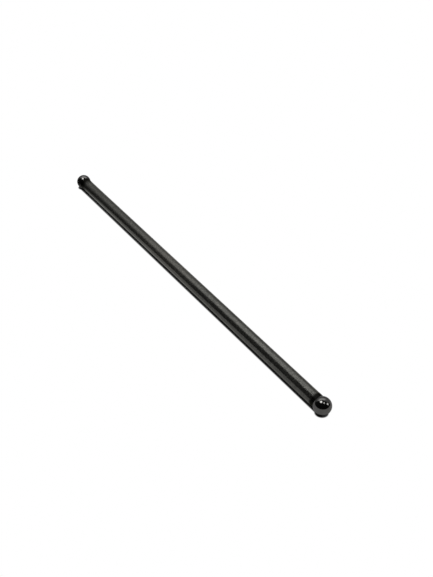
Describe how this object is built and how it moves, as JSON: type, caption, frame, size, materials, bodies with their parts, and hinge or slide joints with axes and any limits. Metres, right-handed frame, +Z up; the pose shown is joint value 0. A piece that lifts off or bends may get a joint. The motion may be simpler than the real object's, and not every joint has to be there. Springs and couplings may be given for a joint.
{
  "type": "engine pushrod",
  "caption": "Straight dark steel rod with a polished ball formed on each end; carries the tappet's lift to the rocker arm of an overhead-valve engine.",
  "frame": {"origin": "centre of the ball at the tappet end", "axes": "+X along the rod towards the ball at the rocker end; the rod lies level, +Z up"},
  "size_m": [0.233, 0.0078, 0.008],
  "materials": {
    "black_steel": "satin black oxide on the shank, darker beside each ball, the balls polished"
  },
  "bodies": {
    "root": {"pushrod": "black_steel"}
  },
  "joints": []
}
